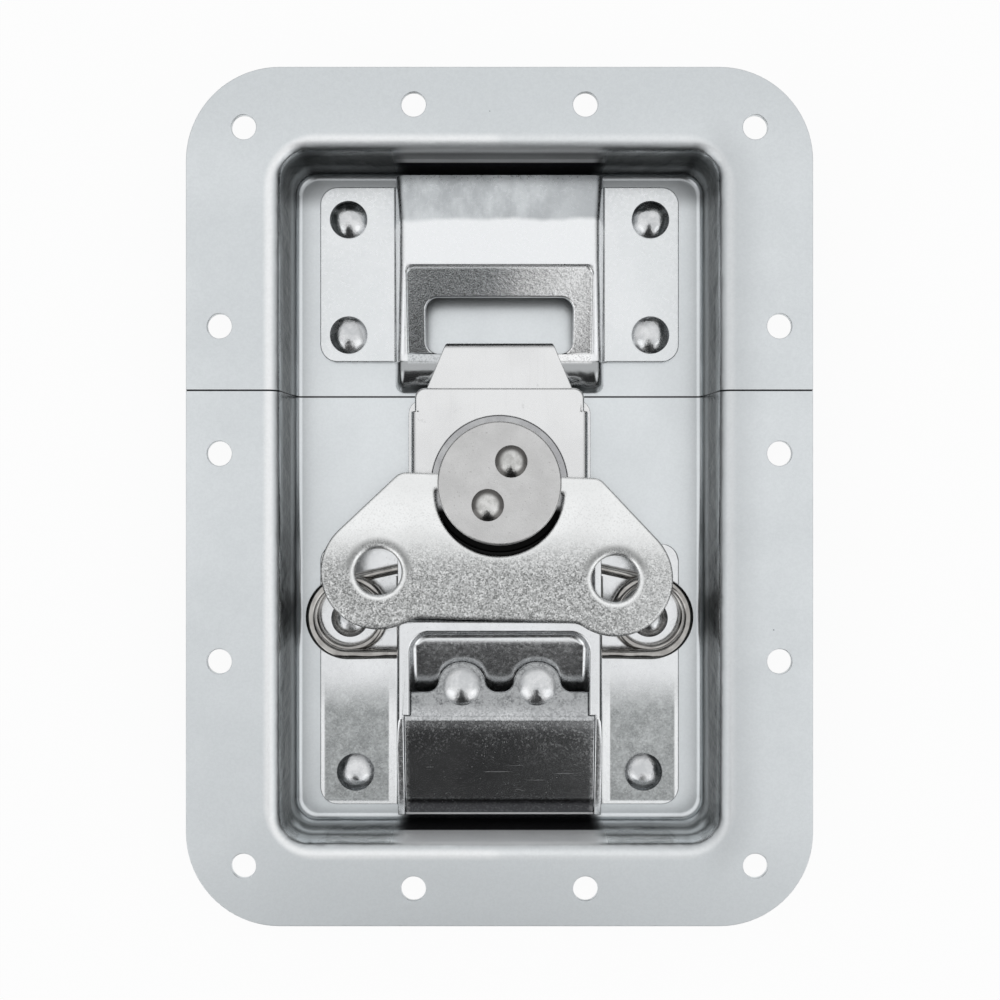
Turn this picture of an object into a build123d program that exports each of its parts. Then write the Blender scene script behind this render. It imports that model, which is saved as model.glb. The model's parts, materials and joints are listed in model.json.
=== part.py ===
from build123d import *
from math import asin, atan2, cos, radians, sin, sqrt, tan
import os

# Recessed butterfly case latch: two dish halves, a keeper, a latch base and its sprung claw.
# The latch lies on its back. +Z comes out of the face, +Y points to the keeper (lid) end and
# X runs across. The origin is under the middle of the plate, level with the rivet tails.

# ---------------------------------------------------------------- driving sizes, millimetres

# dish halves
plate_width = 127.0
plate_length = 174.0
plate_corner = 19.0
dish_sheet = 1.2
dish_depth = 15.0            # floor face to flange face
flange_side = 18.6           # plate edge to recess wall, at the flange face
flange_end = 16.45
recess_corner = 6.0
wall_draft = 5.4             # degrees
bend_inside = 1.2
seam_y = 21.5
seam_gap = 0.4
screw_hole = 5.0
end_hole_x = 17.4            # half the spacing of the pair at each end
end_hole_inset = 7.6         # from the plate edge
corner_hole_insets = (11.7, 12.2)
side_hole_inset = 6.8
lid_side_hole_y = 34.5
base_side_holes_y = (8.7, -33.4)

# rivets
rivet_shank = 3.2
rivet_fit = 0.05             # radial clearance of a shank in its hole
tail_height = 1.0
tail_width = 6.0
head_width = 8.0
head_height = 2.0
head_brim = 0.25             # straight edge under a domed head
tail_chamfer = 0.5

# bracket sheet, shared by keeper and latch base
bracket_sheet = 1.5
wing_reach = 38.4            # centre line to wing edge
wing_corner = 3.7
wing_bend = 1.0

# keeper
keeper_half_width = 22.4     # across the foot of the arch
keeper_draft = 10.5          # degrees, sides lean in
keeper_front = 22.3
keeper_back = 68.0
keeper_lip_end = 28.8        # where the flat bar starts to curl down
keeper_bar_height = 4.9
keeper_crest = (48.4, 9.9)   # y, z of the front crest
keeper_crease = (57.6, 9.3)
keeper_back_height = 5.0
keeper_wing = (28.9, 66.3)   # y from, to
keeper_edge = 1.8            # outside radius along the arch
keeper_lip_foot = 0.9        # straight part of the curled lip, over the floor
keeper_lip_bulge = (1.9, 1.17)   # how far the curl stands off its corner, along y and z
keeper_coin_depth = 0.5
keeper_coin_half_width = 19.4
keeper_coin_corner = 1.5
keeper_coin_end = 0.5        # the coined field stops this far before the crest
keeper_crest_bend = 2.0      # outside radius of the front crest
keeper_crease_bend = 1.2
keeper_rivets = ((32.3, 59.3), (32.3, 34.6))
window_width = 30.9
window_from = 30.3
window_to = 41.7
window_corner = 2.6
window_edge = 0.4
arch_spare = 10.0            # how far the arch's solid is drawn past its trims

# latch base
base_half_width = 21.4
base_rim_height = 9.4
base_rim_y = -25.4           # edge of the roof over the hinge
base_cheek_front = -10.5
base_cheek_height = 6.5
base_cheek_chamfer = 1.5
base_cheek_rise = 1.6        # slope from the low cheek up to the rim
base_shoulder = 1.3          # outside radius where the roof meets a cheek
base_rail = 0.4              # cheek edge over the ramp
base_back = -67.1
base_wing = (-65.9, -10.1)
base_roof_end = -45.4
base_rivets = ((32.0, -26.0), (30.8, -58.9))
pocket_half_width = 18.6
pocket_edge_y = -28.3
pocket_corner = 4.0
pocket_sheet = 1.2
pocket_rim_edge = 0.6        # rolled edge round the mouth of the pocket
pocket_foot_bend = 1.4       # hollow radius where the pocket wall meets its floor
base_front_edge = 1.1        # outside radius where the roof turns down at the front
pocket_floor_start = (-31.0, 7.3)   # y, z of the floor face over the hinge wire
pocket_floor_end = (-43.0, 3.1)
pocket_back = -44.2
boss_foot = 1.5              # where a boss starts, over the dish floor
arm_slot_side = 0.85         # room beside the arm in its cheek slot
arm_slot_top = 0.25
arm_slot_shift = 0.25
ramp_rivets = (7.87, -39.6)
ramp_head_width = 7.9
ramp_head_height = 1.6
ramp_tail_width = 5.0
ramp_tail_height = 0.9
tongue_radius = 5.0
tongue_fillet = 2.4
ledge_y = -40.85
ledge_height = 7.7
ledge_end_y = -43.8
crest_y = -46.2
crest_height = 8.8
ramp_end_height = 5.0
ramp_fit = 0.1
ramp_overlap = 0.5
ramp_miter = 0.3             # underside of a bend behind its top
crest_bend = 2.0             # outside radius of the crest
rise_bend = 0.9              # hollow radius where the ledge turns up
ledge_edge = 0.4             # rolled edge round the tongues
boss_radius = 4.0

# spring wire
wire = 2.1
coil_x = 32.0
coil_radius = 7.9
inner_coil_radius = 7.3
hinge_y = -33.3
coil_drop = 2.2              # height from the upper turn to the lower one
bar_dip = 1.0                # the hinge wire runs this much under the upper turn
bar_dip_end = 23.0           # x where the wire is down
inner_coil_shift = 0.9
arm_target = (21.4, -15.3)   # where an arm passes the cheek
arm_end_x = 15.2
wire_clearance = 0.05

# swinging mechanism
swing_sheet = 1.2
swing_half_width = 19.2
swing_front = 20.5
swing_corner = 3.0
swing_gap = 0.15             # over the spring arms
tail_half_width = 15.0
joggle_y = (-28.6, -25.6)
joggle_miter = 0.5           # underside of a joggle bend behind its top
curl_end = 170.0             # degrees, end of the curl behind the hinge wire
housing_sheet = 1.5
housing_half_width = 18.6
housing_bend = 1.9
housing_front = 22.7
housing_shoulder = 17.8
housing_nose_half_width = 17.7
housing_nose_corner = 2.2
housing_nose_edge = 0.7
housing_back = -22.5
clinch_tabs_y = (11.0, -13.0)
clinch_tab = 4.0

# claw
claw_sheet = 1.5
claw_gap = 0.1               # sliding clearance, top and bottom
claw_side_gap = 0.2
claw_back = -19.0
claw_taper_from = 18.5
claw_base_half_width = 15.3
claw_tip_half_width = 11.2
claw_tip_bottom = 2.0
claw_tip_sheet = 1.5
claw_clearance = 0.6         # tip to keeper bar
claw_tip_edge = 0.3
claw_bend = 1.9
claw_inside_bend = 0.4

# cam, cover and handle
axis_y = 2.7
rest_turn = -1.7             # the handle stands just past dead centre
cam_radius = 14.15
cam_hole_radius = 14.2
cam_shoulder = 0.1           # cam face above the housing
hub_radius = 12.2
throw = 4.0                  # crank pin from the cam axis
crank_pin = 5.0
crank_spigot = 4.0
crank_head = 8.6
crank_head_room = 0.8        # round the pin's head, in the swing plate
crank_fit = 0.1              # axial play of the pin
crank_slack = 1.05           # slot beside the pin, along the claw
pin_end_room = 0.2           # slot past the pin, across the claw
cover_radius = 12.7
cover_thickness = 1.2
cover_edge = 0.55
cover_rivet_circle = 5.05
cover_rivet_angle = 63.4     # degrees from +X
cover_head_width = 6.6
cover_head_height = 1.3
cover_shank = 3.0
cover_shank_length = 4.8
handle_thickness = 1.6
bar_width = 3.5
bar_clearance = 0.05
handle_bottom = -28.25
lobe = (24.45, -18.95)       # centre of a lobe and its hole, from the cam axis
lobe_radius = 11.9
finger_hole = 9.6
lobe_blend = 6.0
shoulder_blend = 3.0
opening_radius = 13.2
handle_edge = 0.5
finger_hole_edge = 0.7       # the holes are dimpled from above

# ---------------------------------------------------------------- levels worked out from them

recess_width = plate_width - 2 * flange_side
recess_length = plate_length - 2 * flange_end
end_holes = (end_hole_x, plate_length / 2 - end_hole_inset)
corner_holes = (plate_width / 2 - corner_hole_insets[0], plate_length / 2 - corner_hole_insets[1])
side_holes_x = plate_width / 2 - side_hole_inset
floor = tail_height + dish_sheet
face = floor + dish_depth
wing_top = floor + bracket_sheet
lower_turn = wing_top + wire_clearance + wire / 2
upper_turn = lower_turn + coil_drop
hinge_z = upper_turn - bar_dip
swing_bottom = lower_turn + wire / 2 + swing_gap
swing_top = swing_bottom + swing_sheet
claw_bottom = swing_top + claw_gap
claw_top = claw_bottom + claw_sheet
housing_bottom = claw_top + claw_gap
housing_top = housing_bottom + housing_sheet
shoulder_z = housing_top + cam_shoulder
bar_swing = sqrt((bar_width / 2) ** 2 + (handle_thickness / 2) ** 2) + bar_clearance
bar_z = shoulder_z + bar_swing + bar_clearance
groove_floor = bar_z - bar_swing
hub_top = bar_z + bar_swing
cover_top = hub_top + cover_thickness
ledge_z = floor + ledge_height
ledge_under = ledge_z - bracket_sheet
pin_hole_y = axis_y - throw


# ---------------------------------------------------------------- helpers

def block(x0, x1, y0, y1, z0, z1):
    """A box between two levels along each axis."""
    return Pos((x0 + x1) / 2, (y0 + y1) / 2, (z0 + z1) / 2) * Box(x1 - x0, y1 - y0, z1 - z0)


def bar_of(points, half_width):
    """A side profile of (y, z) points, carried across the middle by a half width each way."""
    outline = Plane.YZ * make_face(Polyline(*points, close=True))
    return extrude(outline, half_width, both=True)


def edges_along_x(solid, y, z):
    """The straight edges that run across at y, z."""
    return [e for e in solid.edges().filter_by(Axis.X)
            if abs(e.center().Y - y) < 0.02 and abs(e.center().Z - z) < 0.02]


def drill(x, y, diameter, low=-1.0, high=None):
    """A vertical drill at x, y, from one level up to another or to well over the face."""
    top = high or 2 * face
    return Pos(x, y, (low + top) / 2) * Cylinder(diameter / 2, top - low)


def rivet(head, height, shank, top, bottom, tail=None, tail_thickness=0.0):
    """A domed rivet at the origin: its head seats at top, its shank ends at bottom."""
    radius = head / 2
    foot = shank / 2
    crown = top + height
    brim = top + head_brim
    dome = (radius ** 2 + (crown - brim) ** 2) / (2 * (crown - brim))
    side = [(radius, brim), (radius, top), (foot, top)]
    if tail:
        back = bottom + tail_thickness
        rim = tail / 2
        side += [(foot, back), (rim, back), (rim, bottom + tail_chamfer), (rim - tail_chamfer, bottom)]
    else:
        side += [(foot, bottom)]
    side += [(0, bottom), (0, crown)]
    with BuildPart() as made:
        with BuildSketch(Plane.XZ):
            with BuildLine():
                RadiusArc((0, crown), (radius, brim), dome)
                Polyline(*side)
            make_face()
        revolve(axis=Axis.Z)
    return made.part


def both_sides(solid):
    """The solid and its mirror image across the middle."""
    return solid + mirror(solid, Plane.YZ)


def wings(y_from, y_to, inner, rivets):
    """The two riveted wings of a bracket."""
    plan = Pos(0, (y_from + y_to) / 2) * RectangleRounded(2 * wing_reach, y_to - y_from, wing_corner)
    plate = Pos(0, 0, floor) * extrude(plan, bracket_sheet)
    plate -= block(-inner, inner, y_from - 1, y_to + 1, floor - 1, wing_top + 1)
    for x, y in rivets:
        for side in (-1, 1):
            plate -= drill(side * x, y, rivet_shank + 2 * rivet_fit)
    return plate


# ---------------------------------------------------------------- dish halves

def dish():
    """The whole pressed dish, before it is parted at the seam."""
    slant = dish_sheet / cos(radians(wall_draft))
    opening = RectangleRounded(recess_width, recess_length, recess_corner)
    outside = RectangleRounded(recess_width + 2 * slant, recess_length + 2 * slant, recess_corner + slant)
    cavity = Pos(0, 0, face) * extrude(opening, -dish_depth, taper=wall_draft)
    tray = Pos(0, 0, face) * extrude(outside, -(dish_depth + dish_sheet), taper=wall_draft)
    flange = Pos(0, 0, face - dish_sheet) * extrude(
        RectangleRounded(plate_width, plate_length, plate_corner), dish_sheet)
    body = flange + tray - cavity

    def ring(z, reach):
        return [e for e in body.edges()
                if abs(e.center().Z - z) < 0.01 and abs(e.center().X) < reach
                and abs(e.center().Y) < reach + (recess_length - recess_width) / 2]

    inner_reach = recess_width / 2 + dish_sheet * 2
    outer_bend = bend_inside + dish_sheet
    body = fillet(ring(face, inner_reach), outer_bend)
    body = fillet(ring(face - dish_sheet, inner_reach), bend_inside)
    body = fillet(ring(floor, inner_reach), bend_inside)
    body = fillet(ring(floor - dish_sheet, inner_reach), outer_bend)
    return body


def flange_holes(body, y_sign, side_ys):
    """Screw holes round one half of the flange."""
    for x, y in (end_holes, corner_holes):
        for side in (-1, 1):
            body -= drill(side * x, y_sign * y, screw_hole)
    for y in side_ys:
        for side in (-1, 1):
            body -= drill(side * side_holes_x, y, screw_hole)
    return body


def dish_halves():
    """Lid half and base half, each with its screw and rivet holes."""
    whole = dish()
    far = plate_length
    lid_half = whole & block(-far, far, seam_y + seam_gap / 2, far, -far, far)
    base_half = whole & block(-far, far, -far, seam_y - seam_gap / 2, -far, far)
    lid_half = flange_holes(lid_half, 1, (lid_side_hole_y,))
    base_half = flange_holes(base_half, -1, base_side_holes_y)
    for side in (-1, 1):
        for x, y in keeper_rivets:
            lid_half -= drill(side * x, y, rivet_shank + 2 * rivet_fit)
        for x, y in base_rivets:
            base_half -= drill(side * x, y, rivet_shank + 2 * rivet_fit)
    return lid_half, base_half


# ---------------------------------------------------------------- keeper

def arch(inset):
    """Solid of the keeper arch, inset inwards by a sheet thickness for its inside."""
    back = keeper_back + arch_spare
    slope = (keeper_crease[1] - keeper_back_height) / (keeper_back - keeper_crease[0])
    bulge_y, bulge_z = keeper_lip_bulge
    bar_level = floor + keeper_bar_height
    with BuildSketch(Plane.YZ) as side:
        with BuildLine():
            Line((keeper_front, floor - arch_spare), (keeper_front, floor + keeper_lip_foot))
            ThreePointArc((keeper_front, floor + keeper_lip_foot),
                          (keeper_front + bulge_y, bar_level - bulge_z), (keeper_lip_end, bar_level))
            Polyline((keeper_lip_end, bar_level), (window_from, bar_level),
                     (keeper_crest[0], floor + keeper_crest[1]),
                     (keeper_crease[0], floor + keeper_crease[1]),
                     (back, floor + keeper_crease[1] - slope * (back - keeper_crease[0])),
                     (back, floor - arch_spare), (keeper_front, floor - arch_spare))
        make_face()
    lean = tan(radians(keeper_draft))
    foot = keeper_half_width + arch_spare * lean
    top = keeper_half_width - dish_depth * lean
    with BuildSketch(Plane.XZ) as across:
        with BuildLine():
            Polyline((foot, floor - arch_spare), (top, face), (-top, face), (-foot, floor - arch_spare),
                     close=True)
        make_face()
    side_face = offset(side.sketch, -inset, kind=Kind.INTERSECTION) if inset else side.sketch
    cross_face = offset(across.sketch, -inset, kind=Kind.INTERSECTION) if inset else across.sketch
    return extrude(side_face, plate_width, both=True) & extrude(cross_face, plate_length, both=True)


def keeper():
    """Keeper bracket: a drawn arch with a window behind its curled bar."""
    outer = arch(0) & block(-plate_width, plate_width, keeper_front - 1, keeper_back, floor, face)
    outer = fillet(edges_along_x(outer, keeper_crest[0], floor + keeper_crest[1]), keeper_crest_bend)
    outer = fillet(edges_along_x(outer, keeper_crease[0], floor + keeper_crease[1]), keeper_crease_bend)
    roof_edges = [e for e in outer.edges()
                  if abs(e.center().X) > keeper_half_width - 4 and e.center().Z > floor + 0.01
                  and e.center().Y < keeper_back - 0.1]
    outer = fillet(roof_edges, keeper_edge)
    shell = outer - arch(bracket_sheet)
    shell += wings(*keeper_wing, keeper_half_width - bracket_sheet, keeper_rivets)
    bends = [e for e in shell.edges()
             if abs(e.center().Z - wing_top) < 0.02 and abs(e.center().X) < keeper_half_width + 0.2
             and e.length > 20]
    shell = fillet(bends, wing_bend)
    run = keeper_crest[0] - window_from
    rise = keeper_crest[1] - keeper_bar_height
    coin_top = keeper_crest[0] - keeper_coin_end
    coin_low = window_from - window_edge / 4
    gradient = rise / run

    def surface(y):
        return floor + keeper_bar_height + gradient * (y - window_from) - keeper_coin_depth

    coin = bar_of([(coin_low, surface(coin_low)), (coin_top, surface(coin_top)),
                   (coin_top, face), (coin_low, face)], keeper_coin_half_width)
    far_corners = [e for e in coin.edges().filter_by(Axis.Z) if e.center().Y > coin_top - 0.01]
    shell -= fillet(far_corners, keeper_coin_corner)
    window = Pos(0, (window_from + window_to) / 2) * RectangleRounded(
        window_width, window_to - window_from, window_corner)
    shell -= Pos(0, 0, floor - 1) * extrude(window, 2 * dish_depth)
    sill = [e for e in shell.edges()
            if abs(e.center().Z - surface(e.center().Y)) < 0.01
            and abs(e.center().X) < window_width / 2 + 0.01
            and window_from + 0.1 < e.center().Y < window_to + 0.1]
    return fillet(sill, window_edge)


# ---------------------------------------------------------------- latch base

def pocket(grow, top):
    """Volume of the finger pocket up to a level, grown by a sheet thickness."""
    start_y, start_z = pocket_floor_start
    end_y, end_z = pocket_floor_end
    near = pocket_edge_y + grow
    width = 2 * (pocket_half_width + grow)
    plan = Pos(0, (near + base_roof_end) / 2) * Rectangle(width, near - base_roof_end)
    plan = fillet(plan.vertices().filter_by(lambda v: v.Y > base_roof_end + 1), pocket_corner + grow)
    column = extrude(plan, top)
    slope = (start_z - end_z) / (start_y - end_y)
    start_level = floor + start_z - grow
    end_level = start_level + slope * (base_roof_end - start_y)
    above = bar_of([(base_roof_end, end_level), (start_y, start_level), (near, start_level),
                    (near, top), (base_roof_end, top)], base_half_width)
    return column & above


def pocket_hollow():
    """Free space of the finger pocket, its walls running into its floor through a bend."""
    space = pocket(0, face)
    start_y, start_z = pocket_floor_start
    low = [e for e in space.edges() if e.center().Z < floor + start_z + 0.1 and e.length > 1]
    foot = [e for e in low if e.center().Y > start_y + 0.1 or abs(e.center().X) > 0.1]
    return fillet(foot, pocket_foot_bend)


def latch_base():
    """Latch base bracket: cheeks that carry the hinge wire, a roof and its finger pocket."""
    half = base_half_width
    inner = half - bracket_sheet
    rim = floor + base_rim_height
    low = floor + base_cheek_height
    chamfer = base_cheek_chamfer
    cheek_profile = [(base_cheek_front, floor), (base_cheek_front, low - chamfer),
                     (base_cheek_front - chamfer, low), (base_rim_y + chamfer, low),
                     (base_rim_y, low + base_cheek_rise), (base_rim_y, rim), (base_roof_end, rim),
                     (crest_y, floor + crest_height + base_rail),
                     (base_back, floor + ramp_end_height + base_rail), (base_back, floor)]
    cheeks = bar_of(cheek_profile, half) - block(-inner, inner, -plate_length, plate_length, 0, face)
    roof = block(-half, half, base_roof_end, base_rim_y, rim - bracket_sheet, rim)
    body = cheeks + roof
    shoulders = [e for e in body.edges()
                 if abs(abs(e.center().X) - half) < 0.01 and abs(e.center().Z - rim) < 0.01]
    body = fillet(shoulders, base_shoulder)
    front = edges_along_x(body, base_rim_y, rim)
    body = fillet(front, base_front_edge)
    tub = pocket(pocket_sheet, rim)
    body = body + (tub & block(-inner, inner, pocket_back, base_rim_y, 0, rim)) - pocket_hollow()
    mouth = [e for e in body.edges() if abs(e.center().Z - rim) < 0.01 and abs(e.center().X) < inner
             and e.center().Y > base_roof_end + 0.1 and e.center().Y < base_rim_y - base_front_edge - 0.1]
    body = fillet(mouth, pocket_rim_edge)
    for side in (-1, 1):
        stand = Pos(side * ramp_rivets[0], ramp_rivets[1])
        foot = floor + boss_foot
        pillar = stand * Pos(0, 0, foot) * extrude(Circle(boss_radius), ledge_under - foot)
        core = stand * extrude(Circle(boss_radius - pocket_sheet), ledge_under - pocket_sheet)
        body = body + (pillar & tub) - core
    body += wings(*base_wing, inner, base_rivets)
    bends = [e for e in body.edges()
             if abs(e.center().Z - wing_top) < 0.02 and abs(abs(e.center().X) - half) < 0.1
             and e.length > 20]
    body = fillet(bends, wing_bend)
    for side in (-1, 1):
        body -= drill(side * ramp_rivets[0], ramp_rivets[1], rivet_shank + 2 * rivet_fit)
    body -= Pos(0, hinge_y, hinge_z) * Rot(0, 90, 0) * Cylinder(wire / 2 + wire_clearance, 4 * half)
    slot_top = lower_turn + wire / 2 + arm_slot_top
    slot_y = arm_target[1] + arm_slot_shift
    slot_half = wire / 2 + arm_slot_side
    slot_end = half + 2 * wing_bend
    slot = block(inner - 1, slot_end, slot_y - slot_half, slot_y + slot_half, wing_top, slot_top)
    return body - both_sides(slot)


def ramp_cover():
    """Ledge, crest and ramp that close the tail of the latch base."""
    half = base_half_width - bracket_sheet - ramp_fit
    ledge_half = pocket_half_width - ramp_fit
    crest = floor + crest_height
    tail = floor + ramp_end_height
    joint_y = ledge_end_y + ramp_overlap
    plan = Pos(0, (ledge_y + ledge_end_y) / 2) * Rectangle(2 * ledge_half, ledge_y - ledge_end_y)
    for side in (-1, 1):
        plan += Pos(side * ramp_rivets[0], ramp_rivets[1]) * Circle(tongue_radius)
    roots = plan.vertices().filter_by(
        lambda v: abs(v.Y - ledge_y) < 0.01 and abs(v.X) < ledge_half - 1)
    plan = fillet(roots, tongue_fillet)
    ledge = Pos(0, 0, ledge_under) * extrude(plan, bracket_sheet)
    rise = bar_of([(joint_y, ledge_z), (ledge_end_y, ledge_z), (crest_y, crest), (base_back, tail),
                   (base_back, tail - bracket_sheet), (crest_y - ramp_miter, crest - bracket_sheet),
                   (ledge_end_y - ramp_miter, ledge_under), (joint_y, ledge_under)], half)
    trim = both_sides(block(ledge_half, 2 * half, base_roof_end - ramp_fit, 0, 0, face))
    cover = ledge + (rise - trim)
    cover = fillet(edges_along_x(cover, crest_y, crest), crest_bend)
    cover = fillet(edges_along_x(cover, ledge_end_y, ledge_z), rise_bend)
    rim = [e for e in cover.edges()
           if abs(e.center().Z - ledge_z) < 0.01 and e.center().Y > ledge_y - 0.01]
    cover = fillet(rim, ledge_edge)
    for side in (-1, 1):
        cover -= drill(side * ramp_rivets[0], ramp_rivets[1], rivet_shank + 2 * rivet_fit)
    return cover


# ---------------------------------------------------------------- spring wire

def spring():
    """Hinge wire, with a two-turn coil and a lifting arm at each end."""
    top_y = hinge_y + 2 * coil_radius
    low_y = hinge_y + inner_coil_shift
    centre = Vector(coil_x, low_y + inner_coil_radius)
    to_cheek = Vector(*arm_target) - centre
    distance = to_cheek.length
    heading = atan2(to_cheek.Y, -to_cheek.X) - asin(inner_coil_radius / distance)
    lift_off = centre + Vector(sin(heading), cos(heading)) * inner_coil_radius
    run = (lift_off.X - arm_end_x) / cos(heading)
    arm_end = lift_off + Vector(-cos(heading), sin(heading)) * run
    middle = (upper_turn + lower_turn) / 2
    reach = sqrt((top_y - low_y) ** 2 + coil_drop ** 2) / 2
    dip_half = (coil_x - bar_dip_end) / 2
    dip_radius = (dip_half ** 2 + (bar_dip / 2) ** 2) / bar_dip
    quarter = asin(dip_half / dip_radius) / 2
    sag = dip_radius * (1 - cos(quarter))
    step = dip_radius * sin(quarter)
    bar = Line((0, hinge_y, hinge_z), (bar_dip_end, hinge_y, hinge_z))
    rise = ThreePointArc((bar_dip_end, hinge_y, hinge_z), (bar_dip_end + step, hinge_y, hinge_z + sag),
                         (bar_dip_end + dip_half, hinge_y, hinge_z + bar_dip / 2))
    level = ThreePointArc((bar_dip_end + dip_half, hinge_y, hinge_z + bar_dip / 2),
                          (coil_x - step, hinge_y, upper_turn - sag), (coil_x, hinge_y, upper_turn))
    upper = ThreePointArc((coil_x, hinge_y, upper_turn),
                          (coil_x + coil_radius, hinge_y + coil_radius, upper_turn),
                          (coil_x, top_y, upper_turn))
    crossing = ThreePointArc((coil_x, top_y, upper_turn), (coil_x - reach, (top_y + low_y) / 2, middle),
                             (coil_x, low_y, lower_turn))
    half_way = heading / 2
    lower = ThreePointArc((coil_x, low_y, lower_turn),
                          (centre.X + inner_coil_radius * cos(half_way),
                           centre.Y + inner_coil_radius * sin(half_way), lower_turn),
                          (lift_off.X, lift_off.Y, lower_turn))
    arm = Line((lift_off.X, lift_off.Y, lower_turn), (arm_end.X, arm_end.Y, lower_turn))
    path = Wire([bar, rise, level, upper, crossing, lower, arm])
    half = sweep(Plane.YZ * Pos(hinge_y, hinge_z) * Circle(wire / 2), path=path)
    return both_sides(half)


# ---------------------------------------------------------------- swinging mechanism

def swing_plate():
    """Floor of the mechanism, curled under the hinge wire at its tail."""
    length = swing_front - joggle_y[1]
    plan = Pos(0, swing_front - length / 2) * Rectangle(2 * swing_half_width, length)
    plan = fillet(plan.vertices().filter_by(lambda v: v.Y > 0), swing_corner)
    plate = Pos(0, 0, swing_bottom) * extrude(plan, swing_sheet)
    inner = wire / 2 + wire_clearance
    outer = inner + swing_sheet
    low = hinge_z - inner
    end = radians(curl_end)
    turn = radians((270 + curl_end) / 2)
    overlap_y = joggle_y[1] + swing_sheet

    def around(radius, angle):
        return (hinge_y + radius * cos(angle), hinge_z + radius * sin(angle))

    with BuildPart() as tail:
        with BuildSketch(Plane.YZ):
            with BuildLine():
                Polyline((overlap_y, swing_top), (joggle_y[1], swing_top), (joggle_y[0], low),
                         (hinge_y, low))
                ThreePointArc((hinge_y, low), around(inner, turn), around(inner, end))
                Line(around(inner, end), around(outer, end))
                ThreePointArc(around(outer, end), around(outer, turn), (hinge_y, low - swing_sheet))
                Polyline((hinge_y, low - swing_sheet), (joggle_y[0] - joggle_miter, low - swing_sheet),
                         (joggle_y[1] - joggle_miter, swing_bottom), (overlap_y, swing_bottom),
                         (overlap_y, swing_top))
            make_face()
        extrude(amount=tail_half_width, both=True)
    plate += tail.part
    plate -= drill(0, axis_y, 2 * (throw + crank_head / 2 + crank_head_room))
    return plate - clinches(rivet_fit)


def clinches(grow=0.0):
    """The four tabs that join the housing to the swing plate."""
    tabs = Part()
    inside = housing_half_width - housing_sheet - grow
    outside = housing_half_width + grow
    reach = clinch_tab / 2 + grow
    for y in clinch_tabs_y:
        tab = block(inside, outside, y - reach, y + reach, swing_bottom - grow, swing_top + grow)
        tabs += both_sides(tab)
    return tabs


def housing():
    """Channel over the claw, with the round seat that the cam turns in."""
    half = housing_half_width
    inner = half - housing_sheet
    body = block(-half, half, housing_back, housing_shoulder, swing_top, housing_top)
    edges = [e for e in body.edges().filter_by(Axis.Y) if e.center().Z > housing_bottom]
    body = fillet(edges, housing_bend)
    body -= block(-inner, inner, housing_back - 1, housing_shoulder + 1, swing_top - 1, housing_bottom)
    reach = housing_front - axis_y
    nose = Pos(0, axis_y + reach / 2) * Rectangle(2 * housing_nose_half_width, reach)
    nose = fillet(nose.vertices().filter_by(lambda v: v.Y > axis_y), housing_nose_corner)
    nose = Pos(0, 0, housing_bottom) * extrude(nose, housing_sheet)
    nose = fillet(nose.edges().group_by(Axis.Z)[-1], housing_nose_edge)
    nose &= block(-half, half, housing_shoulder - 0.01, housing_front, 0, face)
    body += nose
    body += clinches()
    body -= Pos(0, axis_y) * drill(0, 0, 2 * cam_hole_radius)
    return body


def claw():
    """Sliding claw plate; its turned-down tip holds the keeper bar."""
    side_limit = housing_half_width - housing_sheet - claw_side_gap
    inner_face = window_from + claw_clearance
    tip = inner_face + claw_tip_sheet
    bottom = floor + claw_tip_bottom
    bend = claw_bend
    inside = claw_inside_bend
    with BuildPart() as strip:
        with BuildSketch(Plane.YZ):
            with BuildLine():
                Line((claw_back, claw_top), (tip - bend, claw_top))
                RadiusArc((tip - bend, claw_top), (tip, claw_top - bend), bend)
                Polyline((tip, claw_top - bend), (tip, bottom), (inner_face, bottom),
                         (inner_face, claw_bottom - inside), (inner_face - inside, claw_bottom),
                         (claw_back, claw_bottom), (claw_back, claw_top))
            make_face()
        extrude(amount=plate_width / 2, both=True)
    outline = make_face(Polyline(
        (side_limit, claw_back), (side_limit, claw_taper_from), (claw_base_half_width, housing_front),
        (claw_tip_half_width, tip), (-claw_tip_half_width, tip), (-claw_base_half_width, housing_front),
        (-side_limit, claw_taper_from), (-side_limit, claw_back), close=True))
    plate = strip.part & extrude(outline, face)
    slot_width = crank_pin + 2 * crank_slack
    slot = Pos(0, pin_hole_y) * SlotOverall(2 * (throw + pin_end_room) + crank_pin, slot_width)
    plate -= extrude(slot, face)
    nose = [e for e in plate.edges()
            if e.center().Y > tip - 0.01 and e.center().Z < claw_top - bend + 0.01]
    return fillet(nose, claw_tip_edge)


# ---------------------------------------------------------------- cam, cover and handle

def turned(solid):
    """Put a piece drawn about the cam axis in its place, at the handle's rest angle."""
    return Pos(0, axis_y, 0) * Rot(0, 0, rest_turn) * solid


def cover_rivet_places():
    angle = radians(cover_rivet_angle)
    x, y = cover_rivet_circle * cos(angle), cover_rivet_circle * sin(angle)
    return ((x, y), (-x, -y))


def cam():
    """Cam disc with its hub, and the groove that the handle's bar turns in."""
    disc = Pos(0, 0, housing_bottom) * extrude(Circle(cam_radius), shoulder_z - housing_bottom)
    hub = Pos(0, 0, shoulder_z) * extrude(Circle(hub_radius), hub_top - shoulder_z)
    groove_half = bar_swing + bar_clearance / 2
    body = disc + hub
    body -= block(-cam_radius, cam_radius, -groove_half, groove_half, bar_z, face)
    body -= Pos(0, 0, bar_z) * Rot(0, 90, 0) * Cylinder(groove_half, 2 * cam_radius)
    body -= drill(0, -throw, crank_spigot + 2 * rivet_fit, 0, groove_floor)
    for x, y in cover_rivet_places():
        body -= drill(x, y, cover_shank + 2 * rivet_fit, cover_top - cover_shank_length - rivet_fit, face)
    return turned(body)


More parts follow.
